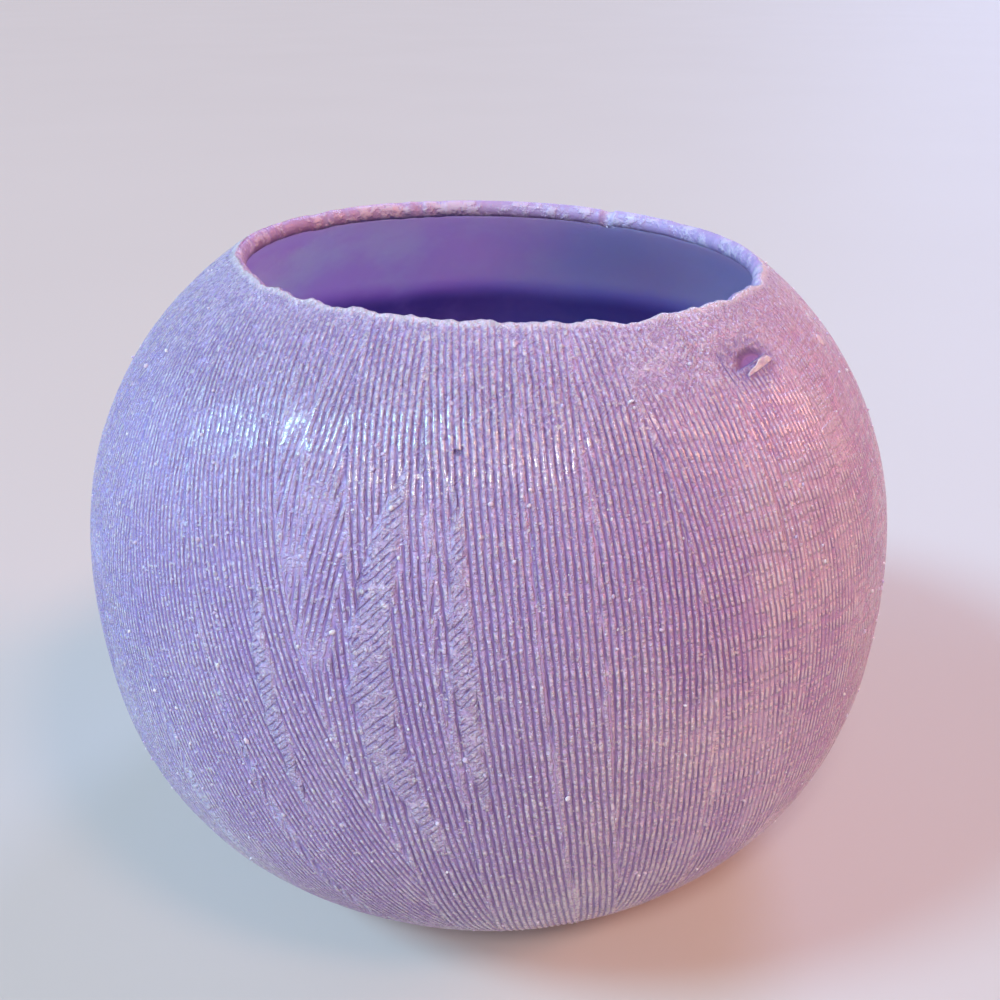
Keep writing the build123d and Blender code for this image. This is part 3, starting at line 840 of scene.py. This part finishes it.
def grown(source, tree, name, values):
    """The plain mesh that a tree makes of a source object, as a new object."""
    modifier = source.modifiers.new(tree.name, "NODES")
    modifier.node_group = tree
    sockets = {s.name: s.identifier for s in tree.interface.items_tree if s.in_out == "INPUT"}
    for label, value in values.items():
        modifier[sockets[label]] = value
    evaluated = source.evaluated_get(bpy.context.evaluated_depsgraph_get())
    mesh = bpy.data.meshes.new_from_object(evaluated)
    source.modifiers.remove(modifier)
    mesh.name = name
    made = bpy.data.objects.new(name, mesh)
    bpy.context.scene.collection.objects.link(made)
    return made


# Wax globe, scored and slumped
# The comb's grooves are pushed into the skin, and the soft wax has sagged into long low swellings.
# The foot and the poured floor stay flat.

def scoring_tree():
    tree, bench, given = geometry_tree("comb_scoring", [
        ("Groove depth", "NodeSocketFloat", 0.001), ("Swelling size", "NodeSocketFloat", 0.03),
        ("Swelling height", "NodeSocketFloat", 0.0004), *corner_inputs,
    ])
    groove, up_the_side, inside = (
        bench.node("GeometryNodeInputNamedAttribute", {"data_type": "FLOAT"}, {"Name": n})["Attribute"]
        for n in ("groove", "up_the_side", "inside")
    )
    place = bench.node("GeometryNodeInputPosition")["Position"]
    normal = bench.node("GeometryNodeInputNormal")["Normal"]
    swelling = bench.grain(place, 1.0 / given["Swelling size"], 2.0, 0.5)
    move = (swelling * 1.6 - 1.0) * given["Swelling height"] * bench.step(up_the_side, 2.0, 14.0)
    move = move - groove * given["Groove depth"]
    offset = bench.scaled(normal, move)
    moved = bench.node("GeometryNodeSetPosition", {}, {"Geometry": given["Geometry"], "Offset": offset})
    indoors = bench.node("FunctionNodeCompare", {"operation": "GREATER_THAN"}, {0: inside, 1: 0.9})
    corners = given["Lowest corner"], given["Highest corner"]
    close_tree(bench, moved["Geometry"], corners, (combed_wax, True), (poured_wax, indoors["Result"]))
    return tree


box_corners = {"Lowest corner": tuple(globe_low), "Highest corner": tuple(globe_high)}
scored = grown(globe, scoring_tree(), "combed_wax_globe", {
    "Groove depth": MM, "Swelling size": 0.032, "Swelling height": 0.0004, **box_corners,
})
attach(scored, "globe")
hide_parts("wax_globe")


# Flake's flap
# The flake tore off against its lower edge, which still stands up as a thin pale curl of wax.

def add_flap():
    across, up = np.linspace(0, 1, 15), np.linspace(0, 1, 5)
    sideways = -2.4 + 8.6 * across
    outline = np.sin(math.pi * np.clip(across**1.25 * 0.90 + 0.07, 0, 1)) ** 0.8
    points, size = [], len(across)
    for face_depth in (0.12, -0.10):
        for share in up:
            reach = share * outline * (1.9 + 0.25 * np.sin(across * 17))
            height = float(np.interp(flake_height, side_z, side_u)) - 1.9 + 0.114 * sideways + reach * 0.75
            lift = 0.95 * (share * outline) ** 1.6
            azimuth = math.radians(flake_azimuth) + sideways / flake_radius
            points.append(on_side(height, azimuth, 0.25 - lift + face_depth))
    points = np.concatenate(points) * MM
    layer = len(up) * size
    faces = []
    for j in range(len(up) - 1):
        for i in range(size - 1):
            a, b = j * size + i, (j + 1) * size + i
            faces.append((a, b, b + 1, a + 1))
            faces.append((layer + a, layer + a + 1, layer + b + 1, layer + b))
    edge = list(range(size)) + [j * size + size - 1 for j in range(1, len(up))]
    edge += [(len(up) - 1) * size + i for i in range(size - 2, -1, -1)]
    edge += [j * size for j in range(len(up) - 2, 0, -1)]
    for a, b in zip(edge, edge[1:] + edge[:1]):
        faces.append((a, b, layer + b, layer + a))
    mesh = bpy.data.meshes.new("flake_flap")
    mesh.from_pydata(points.tolist(), [], faces)
    mesh.polygons.foreach_set("use_smooth", np.ones(len(faces), bool))
    made = bpy.data.objects.new("flake_flap", mesh)
    bpy.context.scene.collection.objects.link(made)
    return made


def flap_finish():
    material, bench, shader, place = new_finish(
        "torn_wax", Subsurface_Weight=0.6, Subsurface_Scale=0.001, Subsurface_Radius=(1.0, 0.8, 0.9),
        IOR=1.45,
    )
    tone = bench.patches(place, 420.0, 0.35, 0.65, 3.0, 0.6)
    colour = bench.blend(tone, (0.62, 0.42, 0.56), (0.90, 0.72, 0.72))
    feed(bench, shader, Base_Color=colour, Roughness=0.3 + 0.2 * tone, Normal=bench.bump(tone, 0.0002))
    return material


flap = add_flap()
flap.data.materials.append(flap_finish())
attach(flap, "globe")


# Wax crumbs
# Combing leaves grains of wax stuck all over the outside, paler than the skin and mostly under a
# millimetre. They are thickest in drifts and stop short of the foot.

def crumb_finish():
    material, bench, shader, place = new_finish(
        "wax_crumb", Subsurface_Weight=0.5, Subsurface_Scale=0.001, Subsurface_Radius=(1.0, 0.8, 1.1),
        IOR=1.44,
    )
    tone = bench.patches(place, 220.0, 0.35, 0.65)
    colour = bench.blend(tone, (0.55, 0.43, 0.66), (0.86, 0.78, 0.86))
    feed(bench, shader, Base_Color=colour, Roughness=0.34 + 0.2 * tone)
    return material


def crumb_tree(material):
    tree, bench, given = geometry_tree("wax_crumbs", [
        ("Crumbs each square metre", "NodeSocketFloat", 20000.0), ("Crumb size", "NodeSocketFloat", 0.0003),
        ("Seed", "NodeSocketInt", 3), *corner_inputs,
    ])
    inside, up_the_side = (
        bench.node("GeometryNodeInputNamedAttribute", {"data_type": "FLOAT"}, {"Name": n})["Attribute"]
        for n in ("inside", "up_the_side")
    )
    outside = bench.node("FunctionNodeCompare", {"operation": "LESS_THAN"}, {0: inside, 1: 0.05})["Result"]
    place = bench.node("GeometryNodeInputPosition")["Position"]
    crowd = 0.12 + bench.patches(place, 45.0, 0.38, 0.7, 3.0)
    density = given["Crumbs each square metre"] * crowd * bench.step(up_the_side, 6.0, 20.0)
    spots = bench.node("GeometryNodeDistributePointsOnFaces", {"distribute_method": "RANDOM"}, {
        "Mesh": given["Geometry"], "Selection": outside, "Density": density, "Seed": given["Seed"],
    })
    grain = bench.node("GeometryNodeMeshIcoSphere", {}, {"Radius": 1.0, "Subdivisions": 1})["Mesh"]
    draw = bench.node("FunctionNodeRandomValue", {"data_type": "FLOAT"}, {2: 0.0, 3: 1.0, "Seed": 5})[1]
    size = given["Crumb size"] * (0.5 + 1.6 * bench.maths("POWER", draw, 4.0))
    drawn = {"data_type": "FLOAT_VECTOR"}
    squash_range = {0: (0.6, 0.6, 0.5), 1: (1.5, 1.1, 1.0), "Seed": 9}
    turn_range = {0: (0.0, 0.0, 0.0), 1: (6.3, 6.3, 6.3), "Seed": 7}
    squash = bench.node("FunctionNodeRandomValue", drawn, squash_range)[0]
    spun = bench.node("FunctionNodeRandomValue", drawn, turn_range)[0]
    placed = bench.node("GeometryNodeInstanceOnPoints", {}, {
        "Points": spots["Points"], "Instance": grain, "Rotation": spun, "Scale": bench.scaled(squash, size),
    })["Instances"]
    close_tree(bench, placed, (given["Lowest corner"], given["Highest corner"]), (material, True))
    return tree


crumbs = grown(scored, crumb_tree(crumb_finish()), "wax_crumbs", {
    "Crumbs each square metre": 44000.0, "Crumb size": 0.00027, "Seed": 3, **box_corners,
})
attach(crumbs, "globe")
bpy.data.objects.remove(globe)


# Tealight
# A flameless tealight stands on the poured floor: an ivory moulded cup, a translucent flame with its
# lamp inside, and underneath a plate with the cell's door and a slide switch.

def moulded_finish(name, tone, shade, roughness=0.42):
    """Satin moulded plastic with flow marks and a fine grain."""
    material, bench, shader, place = new_finish(
        name, Subsurface_Weight=0.15, Subsurface_Scale=0.001, IOR=1.46,
    )
    flow = bench.grain(place, 130.0, 3.0, 0.6)
    grit = bench.grain(place, 3800.0, 2.0)
    colour = bench.blend(bench.step(flow, 0.3, 0.7), tone, shade)
    uneven = roughness + 0.14 * (flow - 0.5) + 0.1 * grit
    normal = bench.bump(grit * 0.5 + flow * 0.5, 0.00004)
    feed(bench, shader, Base_Color=colour, Roughness=uneven, Normal=normal)
    return material


def metal_finish(name, tone, roughness, brushed):
    """Plated strip or can with fine brushing along one way."""
    material, bench, shader, place = new_finish(name, Metallic=1.0)
    lines = bench.grain(bench.stretched(place, brushed), 1.0, 3.0, 0.6)
    stain = bench.patches(place, 240.0, 0.35, 0.75, 3.0)
    colour = bench.blend(stain * 0.7, tone, tuple(0.72 * c for c in tone))
    normal = bench.bump(lines, 0.00001)
    feed(bench, shader, Base_Color=colour, Roughness=roughness + 0.2 * lines, Normal=normal)
    return material


def flame_finish():
    """Translucent warm white, clearer towards the tip, with faint mould swirls."""
    material, bench, shader, place = new_finish(
        "flame_plastic", Subsurface_Weight=0.8, Subsurface_Scale=0.004, Subsurface_Radius=(1.0, 0.75, 0.45),
        IOR=1.47,
    )
    swirl = bench.grain(bench.stretched(place, (1.0, 1.0, 0.35)), 420.0, 3.0, 0.6, 1.2)
    colour = bench.blend(bench.step(swirl, 0.35, 0.7), (0.86, 0.78, 0.58), (0.93, 0.88, 0.74))
    feed(bench, shader, Base_Color=colour, Roughness=0.16 + 0.2 * swirl, Normal=bench.bump(swirl, 0.00008))
    return material


def lamp_finish():
    """Tinted clear resin over the die."""
    material, bench, shader, place = new_finish("lamp_resin", Transmission_Weight=0.6, IOR=1.52)
    haze = bench.grain(place, 900.0, 2.0)
    colour = bench.blend(haze, (0.93, 0.76, 0.36), (0.96, 0.84, 0.52))
    feed(bench, shader, Base_Color=colour, Roughness=0.06 + 0.1 * haze)
    return material


ivory = moulded_finish("ivory_plastic", (0.80, 0.74, 0.61), (0.74, 0.67, 0.53))
steel_strip = metal_finish("spring_steel", (0.62, 0.61, 0.58), 0.22, (300.0, 6000.0, 6000.0))
wire_coat = metal_finish("tinned_wire", (0.74, 0.74, 0.73), 0.25, (5000.0, 5000.0, 300.0))
tealight_finishes = {
    "tealight_case": ivory,
    "base_plate": ivory,
    "led_spacer": ivory,
    "flame_tip": flame_finish(),
    "led_lamp": lamp_finish(),
    "led_anode_lead": wire_coat,
    "led_cathode_lead": wire_coat,
    "battery_door": moulded_finish("door_plastic", (0.77, 0.71, 0.58), (0.70, 0.64, 0.50), 0.5),
    "coin_cell": metal_finish("cell_steel", (0.70, 0.70, 0.69), 0.2, (400.0, 9000.0, 9000.0)),
    "positive_contact": steel_strip,
    "negative_contact": steel_strip,
    "switch_contact": steel_strip,
    "switch_knob": moulded_finish("switch_plastic", (0.018, 0.018, 0.02), (0.035, 0.035, 0.037), 0.4),
}
for node, finish in tealight_finishes.items():
    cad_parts[node].data.materials.clear()
    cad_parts[node].data.materials.append(finish)


# Studio
# A pale matt table and six broad soft lamps, far off: cool from the left and behind, rosy from the right.

def floor_finish():
    material, bench, shader, place = new_finish("pale_table", Roughness=0.55)
    tone = bench.grain(place, 3.0, 3.0)
    feed(bench, shader, Base_Color=bench.blend(tone, (0.56, 0.50, 0.46), (0.59, 0.53, 0.49)))
    return material


table_half = 30.0
table_mesh = bpy.data.meshes.new("table")
table_corners = [(x * table_half, y * table_half, 0.0) for x, y in ((-1, -1), (1, -1), (1, 1), (-1, 1))]
table_mesh.from_pydata(table_corners, [], [(0, 1, 2, 3)])
table_mesh.materials.append(floor_finish())
table = bpy.data.objects.new("table", table_mesh)
bpy.context.scene.collection.objects.link(table)

lamps = [
    ("cool_left", -161, 46, 13, 2.42, (0.35, 0.74, 1.0)),
    ("cool_low", 172, 21, 30, 1.15, (0.26, 0.60, 1.0)),
    ("front_top", -106, 50, 11, 1.40, (1.0, 0.91, 0.90)),
    ("front_right", -42, 53, 11, 0.72, (1.0, 0.60, 0.44)),
    ("rosy_right", 9, 25, 21, 1.30, (1.0, 0.36, 0.26)),
    ("cool_behind", 62, 36, 20, 1.20, (0.42, 0.55, 1.0)),
]
for name, azimuth, elevation, spread, strength, colour in lamps:
    a, e = math.radians(azimuth), math.radians(elevation)
    lamp = bpy.data.lights.new(name, "SUN")
    lamp.angle, lamp.energy, lamp.color = math.radians(spread), strength, colour
    lamp_object = bpy.data.objects.new(name, lamp)
    away = Vector((math.cos(a) * math.cos(e), math.sin(a) * math.cos(e), math.sin(e)))
    lamp_object.location = away
    lamp_object.rotation_mode = "QUATERNION"
    lamp_object.rotation_quaternion = (-away).to_track_quat("-Z", "Y")
    bpy.context.scene.collection.objects.link(lamp_object)

# The room's own light is dim; seen beyond the table it is a pale backdrop.
world = bpy.data.worlds.new("studio_room")
world.use_nodes = True
background = world.node_tree.nodes["Background"]
background.inputs["Color"].default_value = (1.0, 0.88, 0.87, 1.0)
backdrop = Bench(world.node_tree)
seen = backdrop.node("ShaderNodeLightPath")["Is Camera Ray"]
feed(backdrop, background, Strength=0.20 + 0.50 * seen)
bpy.context.scene.world = world
bpy.context.scene.view_settings.view_transform = "Standard"
